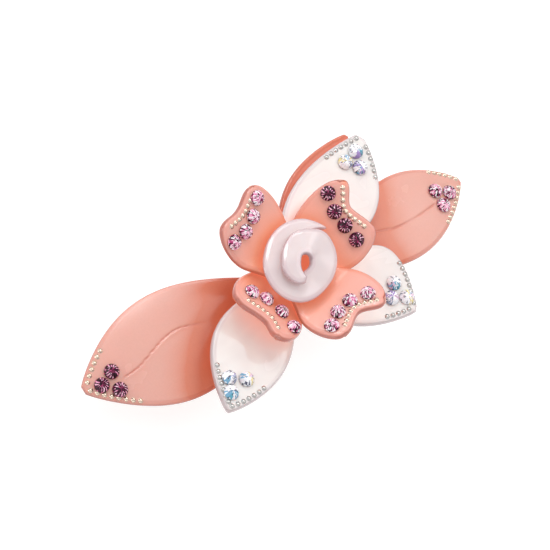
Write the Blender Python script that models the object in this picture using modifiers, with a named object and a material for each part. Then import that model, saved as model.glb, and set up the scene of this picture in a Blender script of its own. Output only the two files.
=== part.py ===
"""A flower barrette: bent acetate leaves and petals set with rhinestones, on a sprung steel clasp.

X runs along the barrette, Z out of the hair towards the flower. The origin is the middle of the
locking bar's back, where the closed clasp lies against the head. Lengths are in metres.
"""
import math

import bmesh
import bpy
from mathutils import Matrix, Vector

MM = 0.001
MERGE = 0.00001

# Acetate sheet work
SHEET = 1.8 * MM
GLUE_GAP = 0.2 * MM
LAYER = SHEET + GLUE_GAP
LEAF_UNDERSIDE = 10.2 * MM
BOW_RADIUS = 235 * MM
DOME_RADIUS = 60 * MM
PETAL_RISE_RADIUS = 320 * MM
LEAF_FULLNESS = 0.82
LEAF_ROOT = 0.08

# Flower strips, crossed a little to the side of the leaves' meeting point
FLOWER_MIDDLE = Vector((-1.03, -0.25)) * MM
CUP_ANGLE = math.radians(28)
CUP_START = 6.0 * MM
CUP_FULL = 9.5 * MM
STRIP_ROOT_HALF = 4.8 * MM
PETAL_END_SHARE = 0.66
WIDEST_AT = 0.7
LOBE_PEAK = 0.8
LOBE_FALL = 0.3

# Rolled centre: angles in degrees about its middle, lengths in millimetres. The band winds from COIL_FROM
# to COIL_TO, with its outer edge over one middle and its inner edge over another, beside it.
COIL_SHEET = 1.3 * MM
COIL_BASE = 10.8 * MM
COIL_FROM = 17
COIL_TO = 602
COIL_MIDDLE = (0.0, 0.7)
COIL_HOLE_MIDDLE = (0.25, -0.25)
COIL_MIDDLE_BLEND = 200
COIL_OUTER_EDGE = (
    (17, 10.5), (45, 9.75), (75, 8.4), (105, 7.4), (135, 7.1), (175, 7.65), (235, 8.6), (290, 7.7),
    (355, 8.4), (378, 8.3), (400, 6.85), (430, 5.6), (460, 4.5), (490, 4.15), (520, 4.35), (560, 5.3),
    (590, 5.6), (602, 5.0),
)
COIL_INNER_EDGE = (
    (17, 10.0), (45, 6.0), (75, 4.4), (120, 3.4), (200, 3.0), (251, 1.5), (347, 0.95), (411, 1.2),
    (511, 0.9), (560, 1.6), (602, 3.3),
)
COIL_OUTER_RISE = ((17, 0), (200, 0.2), (300, 0.8), (360, 1.5), (390, 2.15), (430, 2.5), (602, 2.9))
COIL_INNER_RISE = (
    (17, 0.1), (60, 0.8), (200, 1.0), (300, 1.5), (360, 1.5), (430, 1.0), (510, 0.8), (602, 0.4),
)

# Rhinestones
STONE_RADIUS = 1.6 * MM
STONE_TABLE = 0.85 * MM
STONE_HEIGHT = 1.3 * MM
STONE_SIDES = 8

# Steel clasp
CLASP_HALF = 38 * MM
PLATE_WIDTH = 8.4 * MM
PLATE_SHEET = 0.6 * MM
PLATE_DROP = 0.8 * MM
EAR_LENGTH = 5 * MM
BAR_WIDTH = 6.2 * MM
BAR_SHEET = 0.8 * MM
BAR_BOW_RADIUS = 300 * MM
BAR_FLAT_HALF = 10 * MM
PIN_X = -35.5 * MM
PIN_Z = 0.9 * MM
PIN_RADIUS = 0.8 * MM
PIN_HOLE_RADIUS = 0.9 * MM
EAR_OVERHANG = 1.4 * MM
SPRING_SHEET = 0.4 * MM
SPRING_WIDTH = 6 * MM
SPRING_START = -31 * MM
SPRING_END = 29 * MM
SPRING_ARCH = 1.6 * MM
SPRING_FREE_GAP = 1.45 * MM
LATCH_X = 35 * MM
LATCH_SHEET = 0.5 * MM
LATCH_GAP = 0.3 * MM
LEG_MIDDLE = 1.7 * MM
LEG_WIDTH = 3.0 * MM
LEG_LENGTH = 8.6 * MM
BARB_REACH = 0.35 * MM
WINDOW_HALF = 2.4 * MM
WINDOW_LENGTH = 5.4 * MM
RIVET_RADIUS = 0.7 * MM
RIVET_HOLE_RADIUS = 0.8 * MM
RIVET_HEAD_RADIUS = 1.3 * MM
RIVET_HEAD = 0.5 * MM
RIVET_TOP = 0.5 * MM
RIVET_SPACING = 2.9 * MM
RIVET_LOOSENESS = 0.1 * MM
RIVET_CHAMFER = 0.7
BRACKET_LENGTH = 8 * MM
BRACKET_WIDTH = 5.4 * MM
BARB_DEPTH = 6.6 * MM
BARB_LEAD_IN = 0.2 * MM
BARB_HEIGHT = 1.1 * MM
BAR_HINGE_END = 2 * MM
BAR_FREE_END = 1.5 * MM
WINDOW_SHIFT = -0.8 * MM
PIN_HEAD = 0.5 * MM
PIN_HEAD_RADIUS = 1.3 * MM
PIN_PLAY = 0.3 * MM
SPRING_ROOT_GAP = 0.35 * MM
STRIP_STATIONS = 15
CUTTER_DEPTH = 6 * MM
PIN_CUTTER_LENGTH = 20 * MM

UP = Vector((0, 0, 1))


def start():
    for old in list(bpy.data.objects):
        bpy.data.objects.remove(old, do_unlink=True)
    collections = []
    for name in ("rhinestone_hair_clip", "cutters"):
        collection = bpy.data.collections.new(name)
        bpy.context.scene.collection.children.link(collection)
        collections.append(collection)
    return collections


PARTS, CUTTERS = start()


def plain_material(name, colour, roughness, metallic=0.0, transmission=0.0):
    material = bpy.data.materials.new(name)
    material.use_nodes = True
    shader = material.node_tree.nodes["Principled BSDF"]
    shader.inputs["Base Color"].default_value = (*colour, 1.0)
    shader.inputs["Roughness"].default_value = roughness
    shader.inputs["Metallic"].default_value = metallic
    shader.inputs["Transmission Weight"].default_value = transmission
    material.diffuse_color = (*colour, 1.0)
    return material


PEACH = plain_material("peach_acetate", (0.86, 0.42, 0.33), 0.25)
PEARL = plain_material("pearl_acetate", (0.93, 0.86, 0.84), 0.2)
ROSE = plain_material("rose_crystal", (0.62, 0.16, 0.33), 0.05, transmission=0.5)
CLEAR = plain_material("clear_crystal", (0.75, 0.85, 0.9), 0.05, transmission=0.7)
STEEL = plain_material("plated_steel", (0.75, 0.73, 0.68), 0.25, metallic=1.0)


def add_object(name, data, material=None, collection=PARTS):
    made = bpy.data.objects.new(name, data)
    collection.objects.link(made)
    if material:
        data.materials.append(material)
    return made


def sheet_part(name, shape, along, across, thickness, material, offset=1.0):
    """A bent sheet: a flat grid moved onto shape(a, b), with a and b from -1 to 1, then thickened."""
    mesh = bpy.data.meshes.new(name)
    grid = bmesh.new()
    bmesh.ops.create_grid(grid, x_segments=along, y_segments=across, size=1.0)
    for vert in grid.verts:
        vert.co = shape(vert.co.x, vert.co.y)
    bmesh.ops.remove_doubles(grid, verts=grid.verts, dist=MERGE)
    grid.to_mesh(mesh)
    grid.free()
    mesh.shade_smooth()
    made = add_object(name, mesh, material)
    solidify = made.modifiers.new("thickness", "SOLIDIFY")
    solidify.thickness = thickness
    solidify.offset = offset
    return made


# Leaves and white petals

def bowed(x, y):
    """Height of the peach leaves' underside over the middle of the barrette."""
    return -x * x / (2 * BOW_RADIUS) - y * y / (2 * DOME_RADIUS)


def rising(x, y):
    """Height of an upper petal's underside: these curl gently up towards their tips."""
    return (x * x + y * y) / (2 * PETAL_RISE_RADIUS)


def leaf_half_width(along, widest_at):
    """0 at the root and the tip, 1 where the leaf is widest."""
    power = math.log(0.5) / math.log(widest_at)
    return max(0.0, math.sin(math.pi * along ** power)) ** LEAF_FULLNESS


def leaf_shape(leaf):
    """The underside of a leaf as a function of a grid's a and b."""
    turn = Matrix.Rotation(leaf["azimuth"], 2)

    def shape(a, b):
        along = LEAF_ROOT + (leaf["tip"] - LEAF_ROOT) * (a + 1) / 2
        half, widest_at = leaf["left"] if b > 0 else leaf["right"]
        across = b * half * leaf_half_width(along, widest_at)
        flat = turn @ Vector((along * leaf["length"], across))
        return Vector((flat.x, flat.y, leaf_height(leaf, flat.x, flat.y)))

    return shape


def leaf_height(leaf, x, y):
    return LEAF_UNDERSIDE + leaf["layer"] * LAYER + leaf["curve"](x, y)


def leaf(azimuth, length, left, right, layer, curve, tip):
    """left and right are each side's greatest half width, and how far along the leaf it is. The leaf
    ends a little blunt, at tip of its length."""
    return {
        "azimuth": math.radians(azimuth), "length": length * MM,
        "left": (left[0] * MM, left[1]), "right": (right[0] * MM, right[1]),
        "layer": layer, "curve": curve, "tip": tip,
    }


LEAVES = {
    "peach_leaf_left": leaf(178.3, 49.6, (12.6, 0.54), (10.5, 0.56), 0, bowed, 0.988),
    "peach_leaf_right": leaf(0.4, 51.2, (8.1, 0.67), (9.9, 0.6), 0, bowed, 0.993),
    "peach_leaf_top": leaf(34.3, 35, (7.6, 0.5), (8.2, 0.5), 1, rising, 0.99),
    "white_petal_left": leaf(211.9, 34.4, (7.4, 0.52), (9.3, 0.54), 1, rising, 0.995),
    "white_petal_right": leaf(-44.5, 28.4, (12.2, 0.66), (7.0, 0.46), 1, rising, 0.992),
    "white_petal_top": leaf(30.5, 35.6, (7.6, 0.44), (10.4, 0.58), 2, rising, 0.978),
}


def build_leaves():
    for name, values in LEAVES.items():
        material = PEARL if name.startswith("white") else PEACH
        sheet_part(name, leaf_shape(values), 14, 4, SHEET, material)


# Flower strips: each is one long piece whose two ends are cupped, notched petals

def cup_height(rho):
    """Rise of a petal at rho from the middle: flat, then an arc, then a straight slope."""
    run = abs(rho) - CUP_START
    if run <= 0:
        return 0.0
    arc = CUP_FULL - CUP_START
    slope = math.tan(CUP_ANGLE)
    if run < arc:
        return slope * run * run / (2 * arc)
    return slope * (run - arc / 2)


def petal_half_width(petal, along, b):
    """Half width of a petal from the strip's middle (0) to the notched end (1)."""
    widest = petal["half"][0] if b > 0 else petal["half"][1]
    if along < WIDEST_AT:
        swell = 0.5 - 0.5 * math.cos(math.pi * along / WIDEST_AT)
        return STRIP_ROOT_HALF + (widest - STRIP_ROOT_HALF) * swell
    round_in = (along - WIDEST_AT) / (1 - WIDEST_AT)
    end = widest * PETAL_END_SHARE
    return end + (widest - end) * math.sqrt(max(0.0, 1 - round_in ** 2))


def petal_reach(petal, b):
    """Length of a petal at b across it: two lobes with a shallow notch between them."""
    notch = petal["notch"]
    lobe = petal["lobe"][0] if b > notch else petal["lobe"][1]
    share = (b - notch) / (1 - notch) if b > notch else (notch - b) / (1 + notch)
    rise = 0.5 - 0.5 * math.cos(math.pi * min(share / LOBE_PEAK, 1))
    fall = LOBE_FALL * (max(0, share - LOBE_PEAK) / (1 - LOBE_PEAK)) ** 2
    return petal["reach"] + lobe * (rise - fall)


def petal_shape(petal, a, b):
    """The underside of a petal, with a from 0 at the strip's middle to 1 at the notched end."""
    along = math.sin(a * math.pi / 2)
    rho = along * petal_reach(petal, b)
    across = b * petal_half_width(petal, along, b)
    flat = Matrix.Rotation(petal["azimuth"], 2) @ Vector((rho, across)) + FLOWER_MIDDLE
    return Vector((flat.x, flat.y, petal_height(petal, flat.x, flat.y)))


def petal_height(petal, x, y):
    out = Vector((math.cos(petal["azimuth"]), math.sin(petal["azimuth"])))
    rho = (Vector((x, y)) - FLOWER_MIDDLE).dot(out)
    return LEAF_UNDERSIDE + petal["layer"] * LAYER + cup_height(rho)


def petal(azimuth, layer, reach, lobe, half, notch, stones):
    """lobe and half are pairs, left then right as seen from the middle; stones are (out, across)."""
    return {
        "azimuth": math.radians(azimuth), "layer": layer, "reach": reach * MM,
        "lobe": (lobe[0] * MM, lobe[1] * MM), "half": (half[0] * MM, half[1] * MM),
        "notch": notch, "stones": stones,
    }


PETALS = {
    "upper_right": petal(
        17, 3, 18.2, (3.0, 0.3), (7.6, 9.2), -0.1,
        ((17.3, 5.2), (15.6, 1.7), (15.0, -1.8), (14.5, -5.5)),
    ),
    "lower_left": petal(
        197, 3, 14.7, (1.2, 1.0), (9.4, 7.3), 0.35,
        ((11.3, 7.5), (10.2, 3.6), (10.4, -0.4), (11.8, -3.6)),
    ),
    "upper_left": petal(
        107, 4, 17.3, (0.3, 1.3), (8.9, 7.4), 0.35,
        ((13.9, 6.7), (13.6, 3.1), (14.5, -0.4), (16.4, -3.6)),
    ),
    "lower_right": petal(
        287, 4, 16.0, (2.6, 0.9), (9.1, 8.8), 0.0,
        ((15.2, 4.7), (13.4, 1.2), (13.1, -2.5), (13.9, -6.0)),
    ),
}
STRIPS = {
    "flower_strip_lower": ("upper_right", "lower_left"),
    "flower_strip_upper": ("upper_left", "lower_right"),
}


def strip_shape(ends):
    """Both petals of a strip on one grid, which runs from the far petal's end to the near one's."""
    near, far = (PETALS[end] for end in ends)

    def shape(a, b):
        if a >= 0:
            return petal_shape(near, a, b)
        return petal_shape(far, -a, -b)

    return shape


def build_strips():
    for name, ends in STRIPS.items():
        sheet_part(name, strip_shape(ends), 20, 6, SHEET, PEACH)


# Rolled centre: a band that winds up and in over itself, with straight lines across it

def ease(value):
    value = min(1.0, max(0.0, value))
    return value * value * (3 - 2 * value)


def along_keys(keys, at):
    """A smooth curve through (angle, value) keys."""
    last = len(keys) - 1
    first = max(i for i in range(last) if i == 0 or keys[i][0] <= at)

    def slope(i):
        before, after = keys[max(0, i - 1)], keys[min(last, i + 1)]
        return (after[1] - before[1]) / (after[0] - before[0])

    (x0, y0), (x1, y1) = keys[first], keys[first + 1]
    run = x1 - x0
    t = (at - x0) / run
    value = (2 * t ** 3 - 3 * t ** 2 + 1) * y0 + (3 * t ** 2 - 2 * t ** 3) * y1
    return value + run * ((t ** 3 - 2 * t ** 2 + t) * slope(first) + (t ** 3 - t ** 2) * slope(first + 1))


def coil_shape(a, b):
    """The band's underside: a runs along it from its outer end, b from its outer edge inwards."""
    angle = COIL_FROM + (COIL_TO - COIL_FROM) * (a + 1) / 2
    out = Vector((math.cos(math.radians(angle)), math.sin(math.radians(angle))))
    middle, hole = Vector(COIL_MIDDLE), Vector(COIL_HOLE_MIDDLE)
    inner_middle = middle.lerp(hole, ease((angle - COIL_FROM) / COIL_MIDDLE_BLEND))
    outer = middle + out * along_keys(COIL_OUTER_EDGE, angle)
    inner = inner_middle + out * along_keys(COIL_INNER_EDGE, angle)
    across = (b + 1) / 2
    flat = outer.lerp(inner, across) * MM + FLOWER_MIDDLE
    rise = along_keys(COIL_OUTER_RISE, angle) + along_keys(COIL_INNER_RISE, angle) * across
    return Vector((flat.x, flat.y, LEAF_UNDERSIDE + COIL_BASE + rise * MM))


def build_coil():
    coil = sheet_part("rolled_centre", coil_shape, 60, 2, COIL_SHEET, PEARL)
    coil.modifiers.new("facets", "TRIANGULATE")


# Rhinestones

def stone_mesh(name, material):
    mesh = bpy.data.meshes.new(name)
    cone = bmesh.new()
    bmesh.ops.create_cone(
        cone, cap_ends=True, segments=STONE_SIDES, radius1=STONE_RADIUS,
        radius2=STONE_TABLE, depth=STONE_HEIGHT,
    )
    bmesh.ops.translate(cone, verts=cone.verts, vec=(0, 0, STONE_HEIGHT / 2))
    cone.to_mesh(mesh)
    cone.free()
    mesh.materials.append(material)
    return mesh


def set_stone(name, mesh, height, x, y):
    """Glues a stone to the sheet whose upper face has the given height(x, y)."""
    step = 0.1 * MM
    slope_x = (height(x + step, y) - height(x - step, y)) / (2 * step)
    slope_y = (height(x, y + step) - height(x, y - step)) / (2 * step)
    normal = Vector((-slope_x, -slope_y, 1)).normalized()
    stone = bpy.data.objects.new(name, mesh)
    stone.rotation_mode = "QUATERNION"
    stone.rotation_quaternion = UP.rotation_difference(normal)
    stone.location = Vector((x, y, height(x, y))) + normal * (SHEET + GLUE_GAP)
    PARTS.objects.link(stone)


LEAF_STONES = {
    "peach_leaf_left": ((45.5, 1.1), (42.4, -0.3), (42.8, 3.6)),
    "peach_leaf_right": ((45.9, -1.3), (42.9, 0.4), (42.7, -3.0)),
    "white_petal_left": ((30.5, -1.2), (26.1, 0.6), (27.7, -2.8)),
    "white_petal_right": ((25.6, 2.0), (22.4, 4.4), (22.4, 1.0)),
    "white_petal_top": ((31.1, -0.7), (27.8, 0.2), (28.4, -3.1)),
}


def build_stones():
    rose = stone_mesh("rose_stone", ROSE)
    clear = stone_mesh("clear_stone", CLEAR)
    for leaf_name, places in LEAF_STONES.items():
        mesh = clear if leaf_name.startswith("white") else rose
        set_stones(f"stone_{leaf_name}", mesh, LEAVES[leaf_name], leaf_height, places)
    for petal_name, values in PETALS.items():
        name = f"stone_petal_{petal_name}"
        set_stones(name, rose, values, petal_height, values["stones"], FLOWER_MIDDLE)


def set_stones(name, mesh, sheet, sheet_height, places, middle=Vector((0, 0))):
    """Places are in millimetres along the leaf or petal from its middle, and across it."""
    turn = Matrix.Rotation(sheet["azimuth"], 2)
    for number, place in enumerate(places, 1):
        spot = turn @ (Vector(place) * MM) + middle
        set_stone(f"{name}_{number}", mesh, lambda x, y: sheet_height(sheet, x, y), spot.x, spot.y)


# Clasp

def cut(target, cutter):
    cutter.hide_render = True
    cutter.display_type = "WIRE"
    boolean = target.modifiers.new("cut_" + cutter.name, "BOOLEAN")
    boolean.operation = "DIFFERENCE"
    boolean.object = cutter


def cylinder(name, radius, length, matrix, sides=16, material=None, collection=CUTTERS):
    mesh = bpy.data.meshes.new(name)
    shape = bmesh.new()
    bmesh.ops.create_cone(
        shape, cap_ends=True, segments=sides, radius1=radius, radius2=radius, depth=length,
    )
    shape.to_mesh(mesh)
    shape.free()
    made = add_object(name, mesh, material, collection)
    made.matrix_world = matrix
    return made


def block(name, size, location, material=None, collection=CUTTERS):
    mesh = bpy.data.meshes.new(name)
    shape = bmesh.new()
    bmesh.ops.create_cube(shape, size=1.0)
    bmesh.ops.scale(shape, vec=size, verts=shape.verts)
    shape.to_mesh(mesh)
    shape.free()
    made = add_object(name, mesh, material, collection)
    made.location = location
    return made


def plate_height(x):
    """Middle of the base plate's thickness."""
    return LEAF_UNDERSIDE - PLATE_DROP - x * x / (2 * BOW_RADIUS)


def bar_height(x):
    """Middle of the locking bar's thickness: flat in the middle, bowed towards both ends."""
    run = max(0.0, abs(x) - BAR_FLAT_HALF)
    return BAR_SHEET / 2 - run * run / (2 * BAR_BOW_RADIUS)


def folded_strip(name, height, low_x, high_x, width, thickness, ear_z):
    """A bowed strip with two ears folded along its sides at the hinge end."""
    mesh = bpy.data.meshes.new(name)
    grid = bmesh.new()
    bmesh.ops.create_grid(grid, x_segments=STRIP_STATIONS, y_segments=1, size=1.0)
    for vert in grid.verts:
        x = low_x + (high_x - low_x) * (vert.co.x + 1) / 2
        vert.co = Vector((x, vert.co.y * width / 2, height(x)))
    step = (high_x - low_x) / STRIP_STATIONS
    folds = [
        edge for edge in grid.edges
        if edge.is_boundary and abs(edge.verts[0].co.y - edge.verts[1].co.y) < MERGE
        and max(vert.co.x for vert in edge.verts) < low_x + 1.5 * step
    ]
    new = bmesh.ops.extrude_edge_only(grid, edges=folds)["geom"]
    for vert in new:
        if isinstance(vert, bmesh.types.BMVert):
            vert.co.z = ear_z
    grid.to_mesh(mesh)
    grid.free()
    made = add_object(name, mesh, STEEL)
    solidify = made.modifiers.new("thickness", "SOLIDIFY")
    solidify.thickness = thickness
    solidify.offset = 0.0
    solidify.use_even_offset = True
    return made


def across_pin():
    """Places a cylinder along Y on the hinge axis."""
    return Matrix.Translation((PIN_X, 0, PIN_Z)) @ Matrix.Rotation(math.pi / 2, 4, "X")


def build_hinge_end():
    plate = folded_strip(
        "clasp_base_plate", plate_height, -CLASP_HALF, CLASP_HALF, PLATE_WIDTH, PLATE_SHEET,
        ear_z=PIN_Z - EAR_OVERHANG,
    )
    bar = folded_strip(
        "locking_bar", bar_height, PIN_X - BAR_HINGE_END, CLASP_HALF + BAR_FREE_END, BAR_WIDTH, BAR_SHEET,
        ear_z=PIN_Z + EAR_OVERHANG,
    )
    for target in (plate, bar):
        hole = cylinder("pin_hole_" + target.name, PIN_HOLE_RADIUS, PIN_CUTTER_LENGTH, across_pin())
        cut(target, hole)
    window = block(
        "latch_window", (WINDOW_LENGTH, 2 * WINDOW_HALF, CUTTER_DEPTH),
        (LATCH_X + WINDOW_SHIFT, 0, bar_height(LATCH_X)),
    )
    cut(bar, window)
    build_pin()
    return plate


def build_pin():
    """A headed pin, turned from its profile."""
    shaft_half = PLATE_WIDTH / 2 + PLATE_SHEET / 2 + PIN_PLAY
    end = shaft_half + PIN_HEAD
    profile = (
        (0, end), (PIN_HEAD_RADIUS, end), (PIN_HEAD_RADIUS, shaft_half),
        (PIN_RADIUS, shaft_half), (PIN_RADIUS, -shaft_half), (PIN_HEAD_RADIUS, -shaft_half),
        (PIN_HEAD_RADIUS, -end), (0, -end),
    )
    pin = turned("hinge_pin", profile)
    pin.matrix_world = across_pin()


def turned(name, profile):
    """A turned piece about its own Z; the profile runs down its outer side."""
    mesh = bpy.data.meshes.new(name)
    wire = bmesh.new()
    verts = [wire.verts.new((radius, 0, z)) for radius, z in profile]
    for first, second in zip(verts, verts[1:]):
        wire.edges.new((first, second))
    wire.to_mesh(mesh)
    wire.free()
    made = add_object(name, mesh, STEEL)
    screw = made.modifiers.new("turn", "SCREW")
    screw.steps = 16
    screw.render_steps = 16
    screw.use_merge_vertices = True
    screw.merge_threshold = MERGE
    return made


def spring_shape(a, b):
    x = SPRING_START + (SPRING_END - SPRING_START) * (a + 1) / 2
    gap = SPRING_ROOT_GAP + SPRING_FREE_GAP * (a + 1) / 2
    arch = SPRING_ARCH * math.cos(a * math.pi / 2) ** 2
    top = plate_height(x) - PLATE_SHEET / 2 - gap - arch
    return Vector((x, b * SPRING_WIDTH / 2, top))


def build_spring():
    sheet_part("tension_spring", spring_shape, 14, 1, SPRING_SHEET, STEEL, offset=-1.0)


def build_latch(plate):
    """The latch hangs from a seat that follows the base plate's slope."""
    slope = math.atan2(LATCH_X, BOW_RADIUS)
    seat = bpy.data.objects.new("latch_seat", None)
    seat.location = (LATCH_X, 0, plate_height(LATCH_X) - PLATE_SHEET / 2)
    seat.rotation_euler = (0, slope, 0)
    PARTS.objects.link(seat)
    bpy.context.view_layer.update()
    bracket_top = -LATCH_GAP
    bracket_z = bracket_top - LATCH_SHEET / 2
    size = (BRACKET_LENGTH, BRACKET_WIDTH, LATCH_SHEET)
    bracket = block("latch_bracket", size, (0, 0, bracket_z), STEEL, PARTS)
    bracket.parent = seat
    for name, x in (("latch_rivet_inner", -RIVET_SPACING), ("latch_rivet_outer", RIVET_SPACING)):
        place = seat.matrix_world @ Matrix.Translation((x, 0, 0))
        for target in (plate, bracket):
            hole = cylinder(f"{name}_hole_{target.name}", RIVET_HOLE_RADIUS, CUTTER_DEPTH, place, sides=12)
            cut(target, hole)
        build_rivet(name, seat, x, bracket_top - LATCH_SHEET)
    leg_top = bracket_top - LATCH_SHEET - LATCH_GAP
    build_leg("latch_leg_front", seat, -1, leg_top)
    build_leg("latch_leg_back", seat, 1, leg_top)


def build_rivet(name, seat, x, bracket_underside):
    head_top = bracket_underside - RIVET_LOOSENESS
    head_bottom = head_top - RIVET_HEAD
    profile = (
        (0, RIVET_TOP), (RIVET_RADIUS, RIVET_TOP), (RIVET_RADIUS, head_top), (RIVET_HEAD_RADIUS, head_top),
        (RIVET_HEAD_RADIUS * RIVET_CHAMFER, head_bottom), (0, head_bottom),
    )
    rivet = turned(name, profile)
    rivet.parent = seat
    rivet.location = (x, 0, 0)


def build_leg(name, seat, side, top):
    """A latch leg, a flat outline in its own XY plane: X is outward, Y is up."""
    half = LATCH_SHEET / 2
    outline = (
        (-half, 0), (half, 0), (half, -BARB_DEPTH), (half + BARB_REACH, -BARB_DEPTH - BARB_LEAD_IN),
        (half, -BARB_DEPTH - BARB_HEIGHT), (half, -LEG_LENGTH), (-half, -LEG_LENGTH),
    )
    curve = bpy.data.curves.new(name, "CURVE")
    curve.dimensions = "2D"
    curve.fill_mode = "BOTH"
    curve.extrude = LEG_WIDTH / 2
    spline = curve.splines.new("POLY")
    spline.points.add(len(outline) - 1)
    for point, (x, y) in zip(spline.points, outline):
        point.co = (x * side, y, 0, 1)
    spline.use_cyclic_u = True
    leg = add_object(name, curve, STEEL)
    leg.parent = seat
    leg.location = (0, side * LEG_MIDDLE, top)
    leg.rotation_euler = (math.pi / 2, 0, math.pi / 2)


build_leaves()
build_strips()
build_coil()
build_stones()
build_spring()
build_latch(build_hinge_end())
bpy.context.view_layer.update()
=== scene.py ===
"""The looks of a flower barrette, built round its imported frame. Lengths are in metres.

The acetate leaves, petals and rolled centre are rebuilt with polished round edges and engraved ribs on
the same surfaces as their solids. The stones are cut with facets, and the micro studs are added.
"""
import math
import random

import bmesh
import bpy
import numpy as np
from mathutils import Matrix, Vector
from mathutils.bvhtree import BVHTree


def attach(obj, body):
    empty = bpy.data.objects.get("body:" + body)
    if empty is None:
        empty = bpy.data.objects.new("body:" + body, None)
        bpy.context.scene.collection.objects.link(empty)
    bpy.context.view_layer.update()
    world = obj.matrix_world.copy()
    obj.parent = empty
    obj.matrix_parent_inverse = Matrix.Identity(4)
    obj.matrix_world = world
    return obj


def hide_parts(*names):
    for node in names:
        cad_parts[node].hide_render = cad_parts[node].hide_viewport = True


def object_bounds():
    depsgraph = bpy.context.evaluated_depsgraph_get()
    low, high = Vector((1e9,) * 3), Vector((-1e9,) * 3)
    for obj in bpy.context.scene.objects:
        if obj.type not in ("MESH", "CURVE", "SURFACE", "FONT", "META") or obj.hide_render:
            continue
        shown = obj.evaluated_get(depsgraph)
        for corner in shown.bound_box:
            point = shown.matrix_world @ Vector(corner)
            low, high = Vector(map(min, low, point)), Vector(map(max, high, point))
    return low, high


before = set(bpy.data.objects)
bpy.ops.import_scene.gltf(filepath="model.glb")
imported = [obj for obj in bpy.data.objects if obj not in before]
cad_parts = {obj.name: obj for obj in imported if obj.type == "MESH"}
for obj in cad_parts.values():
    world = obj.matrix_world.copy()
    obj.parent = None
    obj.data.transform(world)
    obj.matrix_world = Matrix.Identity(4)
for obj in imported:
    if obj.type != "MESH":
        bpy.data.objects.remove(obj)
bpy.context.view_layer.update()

MM = 0.001
MERGE = 1e-6
SMALLEST_SQUARE = 1e-18
DICE = random.Random(7)

# The sheets' design, the same as the solids'
SHEET = 1.8 * MM
LAYER = 2.0 * MM
LEAF_UNDERSIDE = 10.2 * MM
BOW_RADIUS = 235 * MM
DOME_RADIUS = 60 * MM
PETAL_RISE_RADIUS = 320 * MM
LEAF_FULLNESS = 0.82
LEAF_ROOT = 0.08
CUP_SLOPE = math.tan(math.radians(28))
CUP_START = 6.0 * MM
CUP_FULL = 9.5 * MM
STRIP_ROOT_HALF = 4.8 * MM
PETAL_END_SHARE = 0.66
WIDEST_AT = 0.7
LOBE_PEAK = 0.8
LOBE_FALL = 0.3
FLOWER_MIDDLE = (-1.03 * MM, -0.25 * MM)

# The rolled centre: degrees round it, and millimetres. Its edges are keys of angle and distance out, and
# its rises are keys of angle and height, for its outer edge and from there to its inner edge.
COIL_SHEET = 1.3 * MM
COIL_BASE = 10.8 * MM
COIL_FROM, COIL_TO = 17, 602
COIL_MIDDLE = (0.0, 0.7)
COIL_HOLE_MIDDLE = (0.25, -0.25)
COIL_MIDDLE_BLEND = 200
COIL_OUTER_EDGE = (
    (17, 10.5), (45, 9.75), (75, 8.4), (105, 7.4), (135, 7.1), (175, 7.65), (235, 8.6), (290, 7.7),
    (355, 8.4), (378, 8.3), (400, 6.85), (430, 5.6), (460, 4.5), (490, 4.15), (520, 4.35), (560, 5.3),
    (590, 5.6), (602, 5.0),
)
COIL_INNER_EDGE = (
    (17, 10.0), (45, 6.0), (75, 4.4), (120, 3.4), (200, 3.0), (251, 1.5), (347, 0.95), (411, 1.2),
    (511, 0.9), (560, 1.6), (602, 3.3),
)
COIL_OUTER_RISE = (
    (17, 0), (200, 0.2), (300, 0.8), (360, 1.5), (390, 2.15), (430, 2.5), (602, 2.9),
)
COIL_INNER_RISE = (
    (17, 0.1), (60, 0.8), (200, 1.0), (300, 1.5), (360, 1.5), (430, 1.0), (510, 0.8), (602, 0.4),
)

# Polished edges and decoration
EDGE_ROUNDING = 0.5 * MM
EDGE_BEVEL = 1.0 * MM
BULLNOSE_POWER = 2.4
BEVEL_DEPTH = 0.2
RIB_DEPTH = 0.18 * MM
RIB_HALF_WIDTH = 0.24 * MM
RIB_ROOT_FADE = 6 * MM
RIB_TIP_FADE = 1.6 * MM
RIB_PATH_STEPS = 10

# The sheets' grids: faces along and across
LEAF_GRID = (150, 90)
RIBBED_COLUMNS = 200
STRIP_GRID = (220, 90)
COIL_GRID = (360, 40)
EVEN_SHARE = 0.45
SLOPE_STEP = 0.02 * MM

# How closely the sheets' surroundings are felt, which places their painted shade, tint and glow
NEAR_REACH = 15 * MM
NEAR_RAYS = 40
NEAR_CELL = 0.9 * MM
NEAR_LIFT = 0.06 * MM
NEAR_SMOOTHING = 40
NEAR_KEPT = 0.4


def add_object(name, data):
    made = bpy.data.objects.new(name, data)
    bpy.context.scene.collection.objects.link(made)
    return made


# Curved surfaces -----------------------------------------------------------------------------------

def turned(x, y, azimuth):
    """Turns flat points by an azimuth."""
    return x * np.cos(azimuth) - y * np.sin(azimuth), x * np.sin(azimuth) + y * np.cos(azimuth)


def bowed(x, y):
    """The side leaves' surface: bent down towards both ends and both sides."""
    return -x * x / (2 * BOW_RADIUS) - y * y / (2 * DOME_RADIUS)


def rising(x, y):
    """The inner petals' surface: a shallow bowl."""
    return (x * x + y * y) / (2 * PETAL_RISE_RADIUS)


def leaf(azimuth, length, left, right, layer, curve, tip, rib=()):
    """A leaf's values, in degrees and millimetres.

    left and right are each side's greatest half width, and how far along the leaf it is. The leaf is cut
    off at tip, a share of its length. rib is the midrib's path, along the leaf and to its left.
    """
    return {
        "azimuth": math.radians(azimuth), "length": length * MM,
        "left": (left[0] * MM, left[1]), "right": (right[0] * MM, right[1]),
        "layer": layer, "curve": curve, "tip": tip, "rib": rib,
    }


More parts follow.
